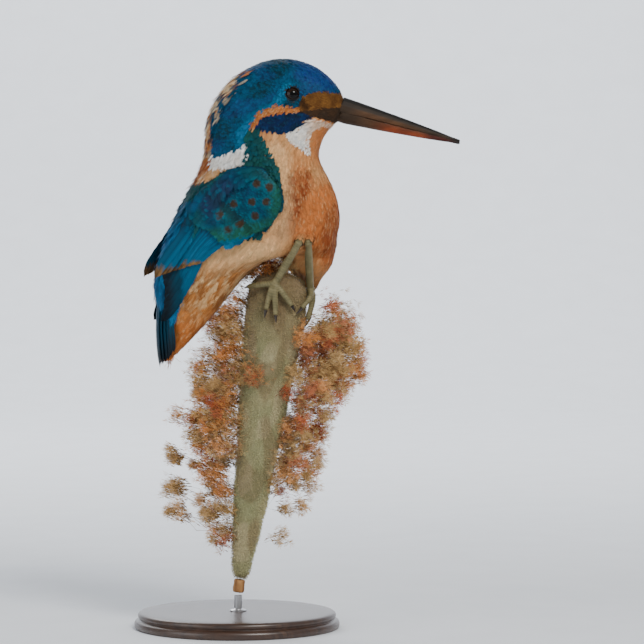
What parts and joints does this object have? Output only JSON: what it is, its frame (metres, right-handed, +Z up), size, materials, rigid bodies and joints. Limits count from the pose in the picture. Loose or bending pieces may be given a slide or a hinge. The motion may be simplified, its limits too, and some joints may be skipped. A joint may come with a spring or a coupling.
{
  "type": "common kingfisher model on a bulrush perch",
  "caption": "Life-size still model of a common kingfisher perched upright on a burst bulrush seed head, held by a small round display stand.",
  "frame": {"origin": "middle of the display base's underside, on the surface the model stands on", "axes": "+Z up, +X the way the bird's head and bill face, +Y to the bird's left"},
  "size_m": [0.1202, 0.076, 0.2109],
  "materials": {
    "feather_blue": "satin feather vanes, deep blue barred with azure",
    "feather_teal": "satin feather vanes, blue-green with small brown spots on the wing",
    "feather_orange": "soft matt feathers, peach orange streaked with rust",
    "bill_horn": "dark horn with a dull gloss",
    "bill_red": "rust red horn, darker at the tip",
    "eye": "glossy dark brown",
    "leg_scale": "small ringed scales, dull khaki",
    "claw": "dark horn",
    "bulrush": "dense velvet of packed seeds, olive tan",
    "seed_fluff": "loose silky down, tan to rust",
    "stem": "dry plant stem",
    "rod_steel": "plain round rod",
    "base_wood": "turned, dark stain, satin varnish"
  },
  "bodies": {
    "root": {"head": "feather_blue", "neck": "feather_teal", "trunk": "feather_orange", "undertail": "feather_orange", "belly": "feather_orange", "wing_right_coverts": "feather_teal", "wing_right_secondaries": "feather_teal", "wing_right_primaries": "feather_teal", "wing_left_coverts": "feather_teal", "wing_left_secondaries": "feather_teal", "wing_left_primaries": "feather_teal", "tail": "feather_blue", "bill_upper": "bill_horn", "bill_lower": "bill_red", "eye_right": "eye", "eye_left": "eye", "leg_right": "leg_scale", "leg_left": "leg_scale", "foot_right": "leg_scale", "foot_left": "leg_scale", "claw_right_inner": "claw", "claw_right_middle": "claw", "claw_right_outer": "claw", "claw_right_hind": "claw", "claw_left_inner": "claw", "claw_left_middle": "claw", "claw_left_outer": "claw", "claw_left_hind": "claw", "perch_seed_head": "bulrush", "perch_fluff_front": "seed_fluff", "perch_fluff_rear": "seed_fluff", "perch_stem": "stem", "stand_rod": "rod_steel", "stand_base": "base_wood"}
  },
  "joints": []
}
